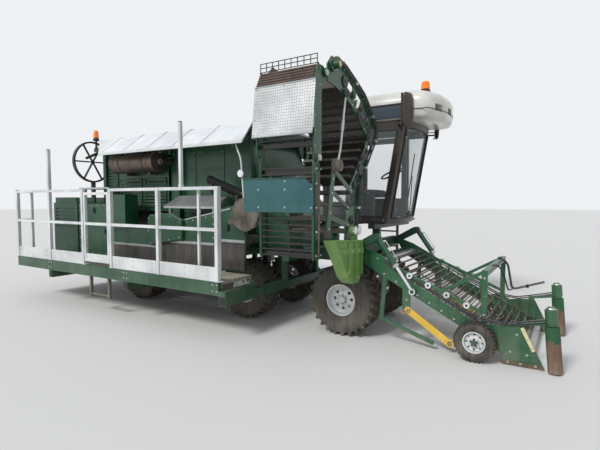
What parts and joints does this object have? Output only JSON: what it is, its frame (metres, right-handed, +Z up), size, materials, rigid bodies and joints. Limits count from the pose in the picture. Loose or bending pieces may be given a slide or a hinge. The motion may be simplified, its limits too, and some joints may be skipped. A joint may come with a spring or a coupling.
{
  "type": "tomato harvester",
  "caption": "Self-propelled tomato harvester with a low pickup header, a cab, sorting walkways with railings, a canopy and a swan-neck unloading elevator that folds down at its side.",
  "frame": {"origin": "on the ground under the middle of the machine's overall box", "axes": "+X is forward, +Y is the machine's left, +Z is up"},
  "size_m": [8.4497, 3.62, 3.45],
  "materials": {
    "green_paint": "satin",
    "white_paint": "satin",
    "cream_paint": "satin",
    "tyre_rubber": "matte",
    "dark_steel": "matte",
    "engine_iron": "matte",
    "galvanised": "satin",
    "chequer": "satin",
    "teal_paint": "satin",
    "brown_grey_paint": "matte",
    "yellow_paint": "satin",
    "lime_paint": "satin",
    "chrome_rod": "polished",
    "window_glass": "gloss",
    "brown_trim": "satin",
    "amber_plastic": "gloss",
    "deck_paint": "matte",
    "exhaust_steel": "satin",
    "rusty_steel": "matte",
    "cab_plastic": "matte"
  },
  "bodies": {
    "chassis": {"axles": "green_paint", "main_frame": "green_paint", "outriggers": "green_paint", "decks": "deck_paint", "railings": "white_paint", "ladders": "dark_steel", "side_panels": "green_paint", "upper_frame": "green_paint", "canopy": "white_paint", "rear_cabinet": "green_paint", "separator_housing": "green_paint", "engine_block": "engine_iron", "muffler": "exhaust_steel", "ring_guard": "dark_steel", "trays": "galvanised", "inner_belts": "dark_steel", "octagon_cover": "brown_grey_paint", "tower_frame": "green_paint", "discharge_boot": "lime_paint", "cab_shell": "brown_trim", "cab_glass": "window_glass", "cab_roof": "cream_paint", "cab_interior": "cab_plastic", "mirrors": "brown_trim", "beacons": "amber_plastic"},
    "front_right_wheel": {"front_right_tyre": "tyre_rubber", "front_right_rim": "white_paint"},
    "front_left_wheel": {"front_left_tyre": "tyre_rubber", "front_left_rim": "white_paint"},
    "middle_right_wheel": {"middle_right_tyre": "tyre_rubber", "middle_right_rim": "white_paint"},
    "middle_left_wheel": {"middle_left_tyre": "tyre_rubber", "middle_left_rim": "white_paint"},
    "rear_right_knuckle": {"rear_right_knuckle": "green_paint"},
    "rear_right_wheel": {"rear_right_tyre": "tyre_rubber", "rear_right_rim": "white_paint"},
    "rear_left_knuckle": {"rear_left_knuckle": "green_paint"},
    "rear_left_wheel": {"rear_left_tyre": "tyre_rubber", "rear_left_rim": "white_paint"},
    "header": {"header_frame": "green_paint", "pickup_rods": "dark_steel", "header_rollers": "galvanised", "nose_plates": "green_paint", "yellow_struts": "yellow_paint"},
    "gauge_right_wheel": {"gauge_right_tyre": "tyre_rubber", "gauge_right_rim": "white_paint"},
    "right_divider": {"divider_right": "rusty_steel"},
    "gauge_left_wheel": {"gauge_left_tyre": "tyre_rubber", "gauge_left_rim": "white_paint"},
    "left_divider": {"divider_left": "rusty_steel"},
    "lift_barrels": {"lift_barrels": "green_paint"},
    "lift_rods": {"lift_rods": "chrome_rod"},
    "unloader_arm": {"unloader_arm": "green_paint", "chequer_plate": "chequer", "guard_mesh": "dark_steel"},
    "unloader_end": {"unloader_end": "green_paint", "teal_panel": "teal_paint"},
    "side_gate": {"side_gate": "white_paint"},
    "end_gate": {"end_gate": "white_paint"},
    "cab_door": {"cab_door": "brown_trim"}
  },
  "joints": [
    {"name": "front_right_wheel_spin", "type": "hinge", "parent": "chassis", "child": "front_right_wheel", "pos_m": [1.76, -0.6, 0.46], "axis": [0, 1, 0], "continuous": true},
    {"name": "middle_right_wheel_spin", "type": "hinge", "parent": "chassis", "child": "middle_right_wheel", "pos_m": [0.17, -0.6, 0.435], "axis": [0, 1, 0], "continuous": true},
    {"name": "front_left_wheel_spin", "type": "hinge", "parent": "chassis", "child": "front_left_wheel", "pos_m": [1.76, 0.6, 0.46], "axis": [0, 1, 0], "continuous": true},
    {"name": "middle_left_wheel_spin", "type": "hinge", "parent": "chassis", "child": "middle_left_wheel", "pos_m": [0.17, 0.6, 0.435], "axis": [0, 1, 0], "continuous": true},
    {"name": "rear_right_steer", "type": "hinge", "parent": "chassis", "child": "rear_right_knuckle", "pos_m": [-2.2, -0.33, 0.435], "axis": [0, 0, 1], "range_deg": [-25, 25]},
    {"name": "rear_right_wheel_spin", "type": "hinge", "parent": "rear_right_knuckle", "child": "rear_right_wheel", "pos_m": [-2.2, -0.6, 0.435], "axis": [0, 1, 0], "continuous": true},
    {"name": "rear_left_steer", "type": "hinge", "parent": "chassis", "child": "rear_left_knuckle", "pos_m": [-2.2, 0.33, 0.435], "axis": [0, 0, 1], "range_deg": [-25, 25]},
    {"name": "rear_left_wheel_spin", "type": "hinge", "parent": "rear_left_knuckle", "child": "rear_left_wheel", "pos_m": [-2.2, 0.6, 0.435], "axis": [0, 1, 0], "continuous": true},
    {"name": "header_lift", "type": "hinge", "parent": "chassis", "child": "header", "pos_m": [2, 0, 1.13], "axis": [0, -1, 0], "range_deg": [0, 18]},
    {"name": "gauge_right_wheel_spin", "type": "hinge", "parent": "header", "child": "gauge_right_wheel", "pos_m": [3.4, -0.805, 0.22], "axis": [0, 1, 0], "continuous": true},
    {"name": "right_divider_spin", "type": "hinge", "parent": "header", "child": "right_divider", "pos_m": [4.157, -0.745, 0.018], "axis": [-0.0872, 0, 0.9962], "continuous": true},
    {"name": "gauge_left_wheel_spin", "type": "hinge", "parent": "header", "child": "gauge_left_wheel", "pos_m": [3.4, 0.805, 0.22], "axis": [0, 1, 0], "continuous": true},
    {"name": "left_divider_spin", "type": "hinge", "parent": "header", "child": "left_divider", "pos_m": [4.157, 0.745, 0.018], "axis": [-0.0872, 0, 0.9962], "continuous": true},
    {"name": "lift_barrel_swing", "type": "hinge", "parent": "chassis", "child": "lift_barrels", "pos_m": [2.257, 0, 1.3], "axis": [0, -1, 0], "range_deg": [-0.5, 20]},
    {"name": "lift_rod_slide", "type": "slide", "parent": "lift_barrels", "child": "lift_rods", "axis": [0.5814, 0, -0.8136], "range_m": [-0.0955, 0.001]},
    {"name": "unloader_fold", "type": "hinge", "parent": "chassis", "child": "unloader_arm", "pos_m": [1.54, -1.5, 3.13], "axis": [-1, 0, 0], "range_deg": [0, 90]},
    {"name": "unloader_end_tilt", "type": "hinge", "parent": "unloader_arm", "child": "unloader_end", "pos_m": [1.54, -1.65, 2.2], "axis": [-1, 0, 0], "range_deg": [0, 35]},
    {"name": "side_gate_swing", "type": "hinge", "parent": "chassis", "child": "side_gate", "pos_m": [-1.531, -1.747, 1.35], "axis": [0, 0, -1], "range_deg": [0, 70]},
    {"name": "end_gate_swing", "type": "hinge", "parent": "chassis", "child": "end_gate", "pos_m": [0.607, -1.747, 1.35], "axis": [0, 0, -1], "range_deg": [0, 90]},
    {"name": "cab_door_swing", "type": "hinge", "parent": "chassis", "child": "cab_door", "pos_m": [1.074, 1.43, 2.1], "axis": [0, 0, 1], "range_deg": [0, 75]}
  ],
  "couplings": [
    {"joint": "rear_left_steer", "follows": "rear_right_steer", "ratio": 1},
    {"joint": "lift_barrel_swing", "follows": "header_lift", "ratio": 1.0882},
    {"joint": "lift_rod_slide", "follows": "header_lift", "m_per_rad": -0.30035}
  ]
}
